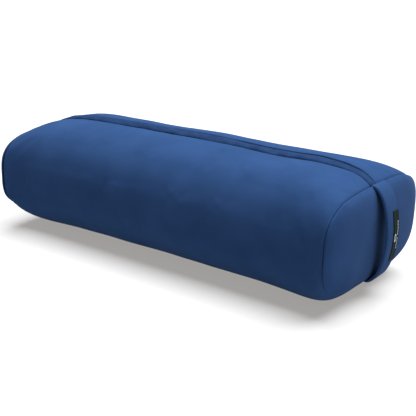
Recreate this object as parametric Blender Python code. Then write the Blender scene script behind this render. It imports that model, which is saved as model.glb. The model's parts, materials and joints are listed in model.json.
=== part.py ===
"""Rectangular yoga bolster: a zipped fabric cover with two strap handles over a lined, wrapped foam core.

Metres, +Z up. The origin is on the floor under the middle. +X runs along the bolster to the end
that carries the label, and the zip lies along the crest. Soft pieces are drawn filled and at rest.
"""

import math
from typing import NamedTuple

import bmesh
import bpy

# ---------------------------------------------------------------- driving sizes, in metres
SEAM_LENGTH = 0.635          # from one end seam to the other
END_WIDTH = 0.296            # end panel, side to side
END_HEIGHT = 0.141           # end panel, bottom seam to top seam
END_LIFT = 0.027             # how far the filled ends pull the bottom seam off the floor
BODY_WIDTH = 0.270           # at mid-length, where the filling draws the sides in
BODY_HEIGHT = 0.190          # at mid-length
FLATTENING = 0.0033          # how far its weight presses the underside flat
END_BULGE = 0.0145           # crown of the end panels

COVER_THICK = 0.0012         # upholstery microfibre
LINER_THICK = 0.0008         # cotton lining
BATTING_THICK = 0.012        # wadding round the core
END_PAD_THICK = 0.012        # wadding over each end of the core
FOAM_LAYERS = 3              # slabs in the core
GAP = 0.0003                 # between pieces that touch
FILLING_GAP = 0.0006         # between the layers of the filling
END_STEP = 0.003             # each inner layer stops this much short of the one outside it

HANDLE_WIDTH = 0.038
HANDLE_THICK = 0.0035
HANDLE_BOW = 0.030           # how far the strap stands out from the end seam
HANDLE_SAG = 0.3             # how much fuller its lower half hangs than a true arc

LABEL_WIDTH = 0.018
LABEL_TOP = 0.133
LABEL_BOTTOM = 0.057
LABEL_THICK = 0.0006

ZIP_Y = -0.006               # zip's centre line, a little to one side of the crest
ZIP_SLOT = 0.012             # opening that the cover leaves over the zip
ZIP_STOP_X = 0.2475          # centres of the end stops; the zip is straight between them
STOP_LENGTH = 0.004
TAPE_WIDTH = 0.014
TAPE_THICK = 0.0006
TAPE_SPLIT = 0.002           # between the two tapes' inner edges
TAPE_END_GAP = 0.0055        # from the tape's end to the end seam
COIL_SPLIT = 0.001           # between the two coils, where the slider's post runs
COIL_WIDTH = 0.0026
COIL_HEIGHT = 0.0014
ZIP_GAP = 0.0002             # coil and stops over the tape

RUN_GAP = 0.0004             # slider's running clearance
POST_WIDTH = 0.0006
WING_THICK = 0.0007
FLANGE_THICK = 0.0009
SLIDER_LENGTH = 0.013
SLIDER_STOP_GAP = 0.001      # left between the parked slider and its stop
BRIDGE_WIDTH = 0.0014
BRIDGE_LENGTH = 0.008
BRIDGE_THICK = 0.0007
BAR_SIZE = 0.001             # square bar of the pull, under the bridge
BAR_GAP = 0.0003
PULL_EYE = 0.0049            # reach of the window in the pull, past the bridge
PULL_EYE_WIDTH = 0.0022
PULL_ARM = 0.0011
PULL_WIDTH = 0.0064
PULL_LENGTH = 0.026

LAP_WIDTH = 0.018            # folded strip over the zip
LAP_THICK = 0.0014
LAP_RISE = 0.0046            # how far its free edge stands off the cover
LAP_TAPER = 0.050            # it flattens over this length towards each end seam
LAP_END_WIDTH = 0.014

# How squarely a section is drawn, and how late along the length each profile turns down.
END_SQUARENESS = 3.3
BODY_SQUARENESS = 2.4
WIDTH_TURN, TOP_TURN, BOTTOM_TURN = 14.8, 10.0, 18.6
TOP_ROUND = 0.8
SQUARENESS_TURN = 4.0

AROUND = 32                  # points round a section
HALF_STATIONS = 8            # sections from the middle to one end
DOME_RINGS = 5
ANGLES = [math.tau * k / AROUND for k in range(AROUND)]
SHARES = [1 - (1 - k / HALF_STATIONS) ** 2 for k in range(HALF_STATIONS + 1)]

HALF = SEAM_LENGTH / 2
END_MIDDLE = END_LIFT + END_HEIGHT / 2


class Layer(NamedTuple):
    """How far a layer lies inside the cover: at the sides and underneath, on top, and at each end."""

    side: float
    top: float
    end: float

    def inward(self, depth: float, end_step: float) -> "Layer":
        """The layer this much further in."""
        return Layer(self.side + depth, self.top + depth, self.end + end_step)


COVER = Layer(0.0, 0.0, GAP / 2)


# ---------------------------------------------------------------- the filled shape
def turn(share, power, rounding=1.0):
    """1 along the middle, falling to 0 at the end seam."""
    return max(0.0, 1.0 - abs(share) ** power) ** rounding


def section_point(share, layer, angle):
    """A point of a layer's section at a share of its half length, as (y, z); angle 0 is the +Y side
    and a quarter turn the crest."""
    flare = turn(share * (HALF - layer.end) / HALF, WIDTH_TURN)
    half_width = (END_WIDTH + (BODY_WIDTH - END_WIDTH) * flare) / 2 - layer.side
    top = END_LIFT + END_HEIGHT
    top += (BODY_HEIGHT - top) * turn(share, TOP_TURN, TOP_ROUND)
    bottom = END_LIFT - (END_LIFT + FLATTENING) * turn(share, BOTTOM_TURN)
    squareness = END_SQUARENESS
    squareness += (BODY_SQUARENESS - END_SQUARENESS) * turn(share, SQUARENESS_TURN)
    across, up = math.cos(angle), math.sin(angle)
    half_height = (top - bottom) / 2 - (layer.top if up > 0 else layer.side)
    y = half_width * math.copysign(abs(across) ** (2 / squareness), across)
    z = (top + bottom) / 2 + half_height * math.copysign(abs(up) ** (2 / squareness), up)
    return y, max(z, layer.side)


def section(x, layer, angles=ANGLES):
    """Points of a layer's section at x, on the facets between its neighbouring stations, so that
    every layer has the same facets as the next."""
    half_length = HALF - layer.end
    share = min(abs(x) / half_length, 1.0)
    above = next(k for k in range(1, len(SHARES)) if share <= SHARES[k])
    low, high = SHARES[above - 1], SHARES[above]
    blend = (share - low) / (high - low)
    points = []
    for angle in angles:
        near = section_point(low, layer, angle)
        far = section_point(high, layer, angle)
        points.append((x, *(a + (b - a) * blend for a, b in zip(near, far))))
    return points


def height_at(x, layer, y):
    """The height of a layer's upper facets."""
    upper = section(x, layer, [angle for angle in ANGLES if angle <= math.pi])
    for (_, far_y, far_z), (_, near_y, near_z) in zip(upper, upper[1:]):
        if near_y <= y <= far_y:
            return near_z + (far_z - near_z) * (y - near_y) / (far_y - near_y)
    raise ValueError(f"{y} is past the side of the bolster")


def stations(layer, reach=None):
    """Places along a layer from end to end, or as far as reach; its last two are its ends."""
    half_length = HALF - layer.end
    reach = reach or half_length
    ahead = [share * half_length for share in SHARES[1:] if share * half_length < reach - GAP]
    return [-x for x in reversed(ahead + [reach])] + [0.0] + ahead + [reach]


def dome(layer, rim_x, bulge, side):
    """Rings crowned outwards from a layer's rim, and the point in their middle; side is +1 or -1."""
    rim = [section_point(1.0, layer, angle) for angle in ANGLES]
    rings = []
    for step in range(DOME_RINGS):
        scale = math.cos(math.pi / 2 * step / DOME_RINGS)
        x = side * (rim_x + bulge * math.sqrt(1 - scale ** 3))
        rings.append([(x, y * scale, END_MIDDLE + (z - END_MIDDLE) * scale) for y, z in rim])
    return rings, (side * (rim_x + bulge), 0.0, END_MIDDLE)


# ---------------------------------------------------------------- building
def material(name, colour, roughness, metallic=0.0):
    """A Principled material."""
    made = bpy.data.materials.new(name)
    made.use_nodes = True
    shader = made.node_tree.nodes["Principled BSDF"]
    shader.inputs["Base Color"].default_value = (*colour, 1.0)
    shader.inputs["Roughness"].default_value = roughness
    shader.inputs["Metallic"].default_value = metallic
    return made


def place(name, bm, finish, origin=(0.0, 0.0, 0.0)):
    """Makes one named object of a bmesh drawn round the origin, with its faces turned out."""
    bmesh.ops.recalc_face_normals(bm, faces=bm.faces)
    mesh = bpy.data.meshes.new(name)
    bm.to_mesh(mesh)
    bm.free()
    mesh.materials.append(finish)
    thing = bpy.data.objects.new(name, mesh)
    thing.location = origin
    bpy.context.collection.objects.link(thing)
    return thing


def sheet(bm, rows, wrap=False, tip=None):
    """Adds a sheet through rows of points; wrap closes each row and tip closes the last one on a
    point. Returns its vertices."""
    made = [[bm.verts.new(point) for point in row] for row in rows]
    for row, following in zip(made, made[1:]):
        pairs = list(zip(row, following))
        for (a, b), (d, c) in zip(pairs, pairs[1:] + (pairs[:1] if wrap else [])):
            bm.faces.new((a, b, c, d))
    vertices = [vertex for row in made for vertex in row]
    if tip:
        point = bm.verts.new(tip)
        last = made[-1]
        for a, b in zip(last, last[1:] + last[:1]):
            bm.faces.new((a, point, b))
        vertices.append(point)
    return vertices


def wall(outer, inner, wrap=False, tips=(None, None)):
    """A bmesh wall between two sheets of matching rows, closed along every open edge."""
    bm = bmesh.new()
    outside = sheet(bm, outer, wrap, tips[0])
    twin = dict(zip(outside, sheet(bm, inner, wrap, tips[1])))
    for edge in [edge for edge in bm.edges if edge.is_boundary]:
        a, b = edge.verts
        if a in twin:
            bm.faces.new((a, b, twin[b], twin[a]))
    return bm


def fill_holes(bm):
    """Closes each flat opening of a bmesh with one face."""
    bmesh.ops.holes_fill(bm, edges=[edge for edge in bm.edges if edge.is_boundary], sides=0)


def box_mesh(low, high):
    """A bmesh box between two corners."""
    bm = bmesh.new()
    bmesh.ops.create_cube(bm, size=1.0)
    for vertex in bm.verts:
        vertex.co = [(a + b) / 2 + share * (b - a) for a, b, share in zip(low, high, vertex.co)]
    return bm


def boolean(thing, operation, low, high):
    """Joins a box to a piece or cuts one from it; the box stays as a hidden guide."""
    guide = place(f"guide_{thing.name}_{len(thing.modifiers)}", box_mesh(low, high),
                  thing.data.materials[0], thing.location)
    guide.hide_render = True
    guide.display_type = "WIRE"
    change = thing.modifiers.new(operation.lower(), "BOOLEAN")
    change.operation = operation
    change.solver = "EXACT"
    change.object = guide


# ---------------------------------------------------------------- cover
def panel_rows(layer):
    """The wrap's rows, each from the far edge of the zip's slot, underneath and up to its near edge."""
    far_edge, near_edge = ZIP_Y + ZIP_SLOT / 2, ZIP_Y - ZIP_SLOT / 2
    rows = []
    for x in stations(layer):
        ring = section(x, layer)
        downwards = [ring[(AROUND // 4 - step) % AROUND] for step in range(AROUND)]
        row = [point for point in downwards
               if point[2] < END_MIDDLE or not near_edge - GAP < point[1] < far_edge + GAP]
        first = (x, far_edge, height_at(x, layer, far_edge))
        last = (x, near_edge, height_at(x, layer, near_edge))
        rows.append([first, *row, last])
    return rows


def make_body_panel(finish):
    """The wrap: one panel from the zip, round underneath and back to the zip."""
    inside = COVER.inward(COVER_THICK, COVER_THICK)
    place("body_panel", wall(panel_rows(COVER), panel_rows(inside)), finish)


def make_crown(name, layer, rim_x, bulge, thickness, side, finish):
    """A crowned panel that closes one end of a layer."""
    outer, outer_tip = dome(layer, rim_x, bulge, side)
    inner, inner_tip = dome(layer.inward(thickness, 0.0), rim_x, bulge - thickness, side)
    place(name, wall(outer, inner, wrap=True, tips=(outer_tip, inner_tip)), finish)


def handle_path(offset):
    """A strap's route in (x, z) from the top seam to the bottom one, offset outwards from its middle."""
    half_height = END_HEIGHT / 2 + HANDLE_THICK / 2 + GAP
    count = 22
    points = []
    for k in range(count + 1):
        angle = math.pi * (0.5 - k / count)
        power = 2.0 + (HANDLE_SAG if angle < 0 else 0.0)
        out = max(0.0, math.cos(angle)) ** (2 / power)
        up = math.copysign(abs(math.sin(angle)) ** (2 / power), angle)
        x = HALF + GAP + out * (HANDLE_BOW + offset)
        points.append((x, END_MIDDLE + up * (half_height + offset)))
    return points


def make_handle(name, side, finish):
    """A strap from the middle of the top seam to the middle of the bottom seam."""
    edges = (-HANDLE_WIDTH / 2, HANDLE_WIDTH / 2)
    outer = [[(side * x, y, z) for y in edges] for x, z in handle_path(HANDLE_THICK / 2)]
    inner = [[(side * x, y, z) for y in edges] for x, z in handle_path(-HANDLE_THICK / 2)]
    place(name, wall(outer, inner), finish)


def label_rows(offset):
    """Rows across the label, this far out from the middle of the strap."""
    path = handle_path(offset)
    count = 10
    rows = []
    for k in range(count + 1):
        z = LABEL_TOP + (LABEL_BOTTOM - LABEL_TOP) * k / count
        above = [point for point in path if point[1] >= z][-1]
        below = [point for point in path if point[1] < z][0]
        share = (above[1] - z) / (above[1] - below[1])
        x = above[0] + (below[0] - above[0]) * share
        rows.append([(x, HANDLE_WIDTH / 2 - LABEL_WIDTH, z), (x, HANDLE_WIDTH / 2, z)])
    return rows


def make_label(finish):
    """A woven label sewn down one edge of the +X strap."""
    back = HANDLE_THICK / 2 + GAP
    place("woven_label", wall(label_rows(back + LABEL_THICK), label_rows(back)), finish)


# ---------------------------------------------------------------- zip
ZIP = Layer(COVER_THICK + GAP, COVER_THICK + GAP, END_STEP)
SLIDER_HALF_WIDTH = COIL_SPLIT / 2 + COIL_WIDTH + RUN_GAP + FLANGE_THICK
TRACK = SLIDER_HALF_WIDTH + RUN_GAP                              # half width kept flat for the slider
STRAIGHT = ZIP_STOP_X + STOP_LENGTH / 2                          # half length kept straight for it
ZIP_LEVEL = height_at(STRAIGHT, ZIP, ZIP_Y - TRACK)              # top of the tape there
WING_TOP = ZIP_LEVEL + ZIP_GAP + COIL_HEIGHT + RUN_GAP + WING_THICK
WING_BOTTOM = ZIP_LEVEL - TAPE_THICK - RUN_GAP - WING_THICK
PULL_AXIS_Z = WING_TOP + BAR_GAP + BAR_SIZE / 2
SLIDER_X = -(ZIP_STOP_X - STOP_LENGTH / 2 - SLIDER_STOP_GAP - SLIDER_LENGTH / 2)


def tape_rows(side, depth):
    """Rows across a tape, this far under its top: flat where the slider runs, then shaped to the
    cover."""
    inner = ZIP_Y + side * TAPE_SPLIT / 2
    level = ZIP_Y + side * TRACK
    outer = ZIP_Y + side * (TAPE_SPLIT / 2 + TAPE_WIDTH)
    rows = []
    for x in sorted({*stations(ZIP, HALF - TAPE_END_GAP), -STRAIGHT, STRAIGHT}):
        flat = min(ZIP_LEVEL, height_at(x, ZIP, level))
        edge = min(flat, height_at(x, ZIP, outer))
        rows.append([(x, inner, flat - depth), (x, level, flat - depth), (x, outer, edge - depth)])
    return rows


def make_tape(name, side, finish):
    """A tape sewn under one edge of the cover's slot."""
    place(name, wall(tape_rows(side, 0.0), tape_rows(side, TAPE_THICK)), finish)


def make_coil(name, side, finish):
    """The band that one nylon coil fills along its tape."""
    near = ZIP_Y + side * COIL_SPLIT / 2
    far = near + side * COIL_WIDTH
    half_length = ZIP_STOP_X - STOP_LENGTH / 2 - GAP
    low = (-half_length, min(near, far), ZIP_LEVEL + ZIP_GAP)
    high = (half_length, max(near, far), ZIP_LEVEL + ZIP_GAP + COIL_HEIGHT)
    place(name, box_mesh(low, high), finish)


def make_stop(name, x, low_y, high_y, finish):
    """A metal stop clamped on the coil's end."""
    bottom = ZIP_LEVEL + ZIP_GAP
    low = (x - STOP_LENGTH / 2, ZIP_Y + low_y, bottom)
    high = (x + STOP_LENGTH / 2, ZIP_Y + high_y, bottom + COIL_HEIGHT)
    place(name, box_mesh(low, high), finish)


def make_slider(finish):
    """Two wings round the coils, the post between them and the bridge that holds the pull."""
    origin = (SLIDER_X, ZIP_Y, PULL_AXIS_Z)
    half_length, half_width = SLIDER_LENGTH / 2, SLIDER_HALF_WIDTH
    wing_top, wing_bottom = WING_TOP - PULL_AXIS_Z, WING_BOTTOM - PULL_AXIS_Z
    coil_top = wing_top - WING_THICK
    slider = place("zip_slider", box_mesh((-half_length, -half_width, coil_top),
                                          (half_length, half_width, wing_top)), finish, origin)
    boolean(slider, "UNION", (-half_length, -half_width, wing_bottom),
            (half_length, half_width, wing_bottom + WING_THICK))
    inside = WING_THICK / 2
    boolean(slider, "UNION", (-POST_WIDTH * 4, -POST_WIDTH / 2, wing_bottom + inside),
            (0, POST_WIDTH / 2, coil_top + inside))
    flange_bottom = ZIP_LEVEL + RUN_GAP - PULL_AXIS_Z
    for side in (-1, 1):
        edges = sorted((side * half_width, side * (half_width - FLANGE_THICK)))
        boolean(slider, "UNION", (-half_length, edges[0], flange_bottom),
                (half_length, edges[1], coil_top + inside))
    clear = BAR_SIZE / 2 + BAR_GAP
    half_bridge = BRIDGE_LENGTH / 2
    boolean(slider, "UNION", (-half_bridge, -BRIDGE_WIDTH / 2, wing_top - inside),
            (half_bridge, BRIDGE_WIDTH / 2, clear + BRIDGE_THICK))
    boolean(slider, "DIFFERENCE", (BRIDGE_THICK - half_bridge, -BRIDGE_WIDTH, wing_top),
            (half_bridge - BRIDGE_THICK, BRIDGE_WIDTH, clear))
    return slider


def make_pull(finish):
    """The pull, lying flat over the closed coils; its origin is on its bar's axis."""
    half_bar = BAR_SIZE / 2
    arm = PULL_EYE_WIDTH / 2 + PULL_ARM
    tab_start = PULL_EYE + PULL_ARM
    pull = place("zip_pull", box_mesh((tab_start, -PULL_WIDTH / 2, -half_bar),
                                      (PULL_LENGTH, PULL_WIDTH / 2, half_bar)),
                 finish, (SLIDER_X, ZIP_Y, PULL_AXIS_Z))
    boolean(pull, "UNION", (-half_bar, -arm, -half_bar), (tab_start + PULL_ARM, arm, half_bar))
    boolean(pull, "DIFFERENCE", (half_bar, -PULL_EYE_WIDTH / 2, -BAR_SIZE),
            (PULL_EYE, PULL_EYE_WIDTH / 2, BAR_SIZE))


def lap_rows(height):
    """Rows across the strip over the zip, this far above its underside."""
    sewn = ZIP_Y + ZIP_SLOT / 2 - LAP_WIDTH
    columns = 7
    rows = []
    for x in stations(COVER):
        near_end = min(1.0, (HALF - abs(x)) / LAP_TAPER)
        width = LAP_END_WIDTH + (LAP_WIDTH - LAP_END_WIDTH) * near_end
        rise = LAP_RISE * math.sin(math.pi / 2 * near_end)
        row = []
        for k in range(columns):
            share = k / (columns - 1)
            y = sewn + width * share
            lift = GAP + rise * math.sin(math.pi / 2 * share)
            row.append((x, y, height_at(x, COVER, y) + lift + height))
        rows.append(row)
    return rows


def make_lap(finish):
    """The folded strip that hides the zip: sewn down on one side, its other edge standing proud."""
    place("zip_lap", wall(lap_rows(LAP_THICK), lap_rows(0.0)), finish)


# ---------------------------------------------------------------- filling
ROOM = height_at(0.0, COVER, 0.0) - WING_BOTTOM + GAP            # kept under the crest for the slider
LINER = Layer(COVER_THICK + FILLING_GAP, ROOM, END_STEP)
WADDING = LINER.inward(LINER_THICK + FILLING_GAP, LINER_THICK + FILLING_GAP)
CORE = WADDING.inward(BATTING_THICK + FILLING_GAP, BATTING_THICK + FILLING_GAP)
PAD_RIM_X = HALF - WADDING.end
PAD_BACK_X = PAD_RIM_X - END_PAD_THICK


def make_tube(name, layer, thickness, finish, reach=None):
    """A layer wrapped round the filling, open at both ends."""
    inside = layer.inward(thickness, thickness)
    outer = [section(x, layer) for x in stations(layer, reach)]
    inner = [section(x, inside) for x in reversed(stations(inside, reach))]
    bm = bmesh.new()
    sheet(bm, outer + inner + outer[:1], wrap=True)
    bmesh.ops.remove_doubles(bm, verts=bm.verts, dist=GAP / 100)
    place(name, bm, finish)


def make_end_pad(name, side, finish):
    """Wadding over an end of the core: flat against it, crowned outside."""
    places = [PAD_BACK_X, *(x for x in stations(WADDING) if PAD_BACK_X < x < PAD_RIM_X)]
    rings, tip = dome(WADDING, PAD_RIM_X, END_BULGE - WADDING.side, side)
    bm = bmesh.new()
    sheet(bm, [section(side * x, WADDING) for x in places] + rings, wrap=True, tip=tip)
    fill_holes(bm)
    place(name, bm, finish)


def make_foam(finish):
    """The core, cut from flat slabs stacked one on another."""
    bottom, top = CORE.side, height_at(0.0, CORE, 0.0)
    slab = (top - bottom) / FOAM_LAYERS
    for layer in range(FOAM_LAYERS):
        bm = bmesh.new()
        sheet(bm, [section(x, CORE) for x in stations(CORE, PAD_BACK_X - GAP)], wrap=True)
        fill_holes(bm)
        cuts = []
        if layer > 0:
            cuts.append((bottom + layer * slab + GAP / 2, -1))
        if layer < FOAM_LAYERS - 1:
            cuts.append((bottom + (layer + 1) * slab - GAP / 2, 1))
        for height, direction in cuts:
            whole = bm.verts[:] + bm.edges[:] + bm.faces[:]
            bmesh.ops.bisect_plane(bm, geom=whole, plane_co=(0, 0, height),
                                   plane_no=(0, 0, direction), clear_outer=True)
            fill_holes(bm)
        place(f"foam_slab_{layer + 1}", bm, finish)


# ---------------------------------------------------------------- the bolster
def main():
    for thing in list(bpy.data.objects):
        bpy.data.objects.remove(thing)

    microfibre = material("navy_microfibre", (0.040, 0.090, 0.240), 0.62)
    tape_weave = material("navy_zip_tape", (0.015, 0.028, 0.080), 0.80)
    nylon = material("navy_nylon_coil", (0.010, 0.018, 0.050), 0.40)
    slider_metal = material("dark_zinc", (0.060, 0.065, 0.080), 0.35, 1.0)
    stop_metal = material("aluminium_stop", (0.600, 0.600, 0.620), 0.35, 1.0)
    label_weave = material("dark_green_label", (0.012, 0.030, 0.024), 0.75)
    cotton = material("natural_cotton", (0.780, 0.740, 0.640), 0.90)
    wadding = material("white_wadding", (0.850, 0.850, 0.830), 1.00)
    foam = material("cream_foam", (0.820, 0.760, 0.560), 0.95)

    make_body_panel(microfibre)
    make_lap(microfibre)
    for name, side in (("front", 1), ("rear", -1)):
        make_crown(f"end_panel_{name}", COVER, HALF + GAP / 2, END_BULGE, COVER_THICK, side,
                   microfibre)
        make_handle(f"handle_{name}", side, microfibre)
        make_crown(f"liner_end_{name}", LINER, HALF - LINER.end + GAP, END_BULGE - LINER.side,
                   LINER_THICK, side, cotton)
        make_end_pad(f"batting_pad_{name}", side, wadding)
    make_label(label_weave)

    for name, side in (("left", 1), ("right", -1)):
        make_tape(f"zip_tape_{name}", side, tape_weave)
        make_coil(f"zip_coil_{name}", side, nylon)
        edges = sorted((side * COIL_SPLIT / 2, side * (COIL_SPLIT / 2 + COIL_WIDTH)))
        make_stop(f"top_stop_{name}", -ZIP_STOP_X, *edges, stop_metal)
    reach = COIL_SPLIT / 2 + COIL_WIDTH
    make_stop("bottom_stop", ZIP_STOP_X, -reach, reach, stop_metal)
    make_slider(slider_metal)
    make_pull(slider_metal)

    make_tube("inner_liner", LINER, LINER_THICK, cotton)
    make_tube("batting_wrap", WADDING, BATTING_THICK, wadding, PAD_BACK_X - GAP)
    make_foam(foam)


main()
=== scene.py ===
"""Rectangular yoga bolster: a zipped navy microfibre cover, two strap handles and a woven label.

Lengths are in metres, +Z up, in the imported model's own frame: +X runs along the bolster to the end
that carries the label, and the zip lies along the crest under a folded lap.
"""
from __future__ import annotations

import json
import logging
import math
from dataclasses import dataclass
from enum import Enum
from typing import Any, Callable, Sequence

import bmesh
import bpy
import numpy as np
from mathutils import Matrix, Vector, noise

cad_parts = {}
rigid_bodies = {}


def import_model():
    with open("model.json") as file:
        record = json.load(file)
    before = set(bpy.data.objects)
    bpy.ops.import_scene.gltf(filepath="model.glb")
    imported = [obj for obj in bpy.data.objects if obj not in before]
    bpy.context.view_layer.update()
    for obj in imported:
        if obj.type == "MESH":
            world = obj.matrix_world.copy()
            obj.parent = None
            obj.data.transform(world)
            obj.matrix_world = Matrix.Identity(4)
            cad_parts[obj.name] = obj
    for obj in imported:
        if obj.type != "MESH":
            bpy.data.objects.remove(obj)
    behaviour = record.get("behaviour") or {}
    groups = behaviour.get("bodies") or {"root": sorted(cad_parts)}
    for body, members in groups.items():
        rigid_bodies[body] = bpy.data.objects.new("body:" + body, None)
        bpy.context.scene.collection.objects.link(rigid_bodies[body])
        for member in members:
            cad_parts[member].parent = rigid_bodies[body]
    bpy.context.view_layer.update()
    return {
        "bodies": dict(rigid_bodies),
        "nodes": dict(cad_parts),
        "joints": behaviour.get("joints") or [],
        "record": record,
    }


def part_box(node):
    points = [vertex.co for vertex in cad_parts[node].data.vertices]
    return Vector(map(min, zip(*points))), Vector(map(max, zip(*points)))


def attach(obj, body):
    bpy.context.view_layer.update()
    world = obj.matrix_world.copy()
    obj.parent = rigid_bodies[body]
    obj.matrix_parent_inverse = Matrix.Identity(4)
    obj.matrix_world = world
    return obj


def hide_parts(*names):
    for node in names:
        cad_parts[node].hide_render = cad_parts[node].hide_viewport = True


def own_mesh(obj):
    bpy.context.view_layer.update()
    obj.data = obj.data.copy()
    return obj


LOG = logging.getLogger("bolster")
MM = 0.001
Stops = Sequence[tuple[float, float]]
Material = bpy.types.Material
Object = bpy.types.Object
BMesh = bmesh.types.BMesh


class End(Enum):
    """The two ends of the bolster, by the sign of their X."""

    FRONT = 1
    REAR = -1


# ---------------------------------------------------------------- small tools
def linear(colour: str) -> tuple[float, float, float, float]:
    """Turns an sRGB hex colour to linear RGBA.

    Args:
        colour: six hex digits after a hash, such as "#2b4a7f".

    Returns:
        Linear red, green, blue and an alpha of one.
    """
    parts = [int(colour[k:k + 2], 16) / 255 for k in (1, 3, 5)]
    return (*(p / 12.92 if p <= 0.04045 else ((p + 0.055) / 1.055) ** 2.4 for p in parts), 1.0)


def add(tree: bpy.types.NodeTree, kind: str, settings: dict[str | int, Any] | None = None,
        links: dict[str | int, bpy.types.NodeSocket] | None = None) -> bpy.types.Node:
    """Adds one node with its settings and links.

    Args:
        tree: the material's node tree.
        kind: the node's type name, without "ShaderNode".
        settings: attributes of the node, or values of its inputs, by the input's name or number.
        links: output sockets to join to this node's inputs, by the input's name or number.

    Returns:
        The new node.
    """
    node = tree.nodes.new("ShaderNode" + kind)
    for name, value in (settings or {}).items():
        if isinstance(name, str) and hasattr(node, name):
            setattr(node, name, value)
        else:
            node.inputs[name].default_value = value
    for name, socket in (links or {}).items():
        tree.links.new(socket, node.inputs[name])
    return node


def begin(name: str, values: dict[str, Any]) -> tuple[Material, bpy.types.NodeTree,
                                                     bpy.types.Node]:
    """Starts a material.

    Args:
        name: the material's name.
        values: values of its principled shader's inputs, by their names.

    Returns:
        The material, its node tree and its principled shader.
    """
    made = bpy.data.materials.new(name)
    made.use_nodes = True
    shader = made.node_tree.nodes["Principled BSDF"]
    for entry, value in values.items():
        shader.inputs[entry].default_value = value
    return made, made.node_tree, shader


def ripple(place: float, wavelength: float, seed: float) -> float:
    """Smooth noise along one line, from about -1 to 1.

    Args:
        place: distance along the line.
        wavelength: rough length of one wrinkle.
        seed: picks one of many such lines.

    Returns:
        The noise there.
    """
    return 2.0 * noise.noise(Vector((place / wavelength, seed * 7.31, seed * 3.17)))


def cloth_grid(points: np.ndarray, flat: np.ndarray, merge: bool = False) -> BMesh:
    """A grid of cloth, made flat by the grid operator and then moved to its place.

    Args:
        points: places, as rows by columns by three.
        flat: where each point lies on the cut cloth, in metres, as rows by columns by two.
        merge: joins points that meet, for a tube or a dome.

    Returns:
        The mesh, with its cut-cloth places as its UV map.
    """
    rows, columns = points.shape[:2]
    bm = bmesh.new()
    bmesh.ops.create_grid(bm, x_segments=rows - 1, y_segments=columns - 1, size=0.5)
    uv = bm.loops.layers.uv.new("cut")
    spots = {v: (round((v.co.x + 0.5) * (rows - 1)), round((v.co.y + 0.5) * (columns - 1)))
             for v in bm.verts}
    for face in bm.faces:
        face.smooth = True
        for loop in face.loops:
            loop[uv].uv = flat[spots[loop.vert]]
    for vertex, spot in spots.items():
        vertex.co = points[spot]
    if merge:
        bmesh.ops.remove_doubles(bm, verts=bm.verts, dist=1e-6)
    return bm


def piece(name: str, bm: BMesh, finish: Material) -> Object:
    """Makes one named object of a mesh that is already in its place, and frees the bmesh.

    Args:
        name: the object's name.
        bm: its shape, in the frame's own metres.
        finish: its material.

    Returns:
        The object, at the origin and unturned.
    """
    mesh = bpy.data.meshes.new(name)
    bm.to_mesh(mesh)
    bm.free()
    mesh.materials.append(finish)
    made = bpy.data.objects.new(name, mesh)
    bpy.context.scene.collection.objects.link(made)
    return made


def tube(name: str, points: Any, flat: Any, finish: Material) -> Object:
    """Makes a piece of one closed ring of points at each station, and closes its two ends.

    Args:
        name: the object's name.
        points: places, as stations by points by three.
        flat: where each point lies on the cut cloth, as stations by points by two.
        finish: its material.

    Returns:
        The object.
    """
    bm = cloth_grid(np.array(points), np.array(flat), merge=True)
    bmesh.ops.holes_fill(bm, edges=[e for e in bm.edges if e.is_boundary], sides=0)
    bmesh.ops.recalc_face_normals(bm, faces=bm.faces)
    return piece(name, bm, finish)


def thicken(made: Object, thickness: float) -> None:
    """Gives a sheet its thickness, inwards from the side that shows."""
    wall = made.modifiers.new("cloth", "SOLIDIFY")
    wall.thickness = thickness
    wall.offset = -1.0
    wall.use_even_offset = True
    wall.use_rim = True


def inflate(made: Object, sewn: Callable[[Vector], bool], limit: float,
            pressure: float = 4.0, ease: float = 0.005, frames: int = 20,
            resting: float = 14 * MM, fade: float = 45 * MM) -> None:
    """Lets a cloth simulation fill a piece of the cover out from where it is sewn.

    Args:
        made: the piece, before it has its thickness.
        sewn: tells which of its points are held still.
        limit: how far a point may move.
        pressure: how hard the filling pushes.
        ease: share by which the cloth was cut larger than its seams.
        frames: how many steps it takes.
        resting: height below which the weight holds the cloth as it is.
        fade: further height over which it comes free.
    """
    scene, mesh = bpy.context.scene, made.data
    start = np.array([v.co for v in mesh.vertices])
    group = made.vertex_groups.new(name="sewn")
    group.add([v.index for v in mesh.vertices if sewn(v.co)], 1.0, "REPLACE")
    cloth = made.modifiers.new("filling", "CLOTH")
    cloth.settings.quality = 4
    cloth.settings.vertex_group_mass = group.name
    cloth.settings.use_pressure = True
    cloth.settings.uniform_pressure_force = pressure
    cloth.settings.shrink_min = -ease
    cloth.settings.effector_weights.gravity = 0.0
    cloth.point_cache.frame_start, cloth.point_cache.frame_end = 1, frames
    for frame in range(1, frames + 1):
        scene.frame_set(frame)
    filled = made.evaluated_get(bpy.context.evaluated_depsgraph_get()).to_mesh()
    moved = np.array([v.co for v in filled.vertices]) - start
    far = np.linalg.norm(moved, axis=1, keepdims=True)
    moved *= limit * np.tanh(far / limit) / np.maximum(far, 1e-9)
    moved *= np.clip((start[:, 2:] - resting) / fade, 0.0, 1.0)
    mesh.vertices.foreach_set("co", (start + moved).ravel())
    made.modifiers.remove(cloth)
    made.vertex_groups.clear()
    scene.frame_set(1)
    far = np.linalg.norm(moved, axis=1) / MM
    LOG.info("%s filled out by up to %.1f mm, %.2f mm on average", made.name, far.max(), far.mean())


def settle(made: Object, body: str, slot: str, *nodes: str) -> Object:
    """Rides a piece on its body and hides the nodes that it stands for."""
    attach(made, body)
    if nodes:
        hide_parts(*nodes)
    LOG.info("%s rides on %s", made.name, body)
    return made


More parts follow.
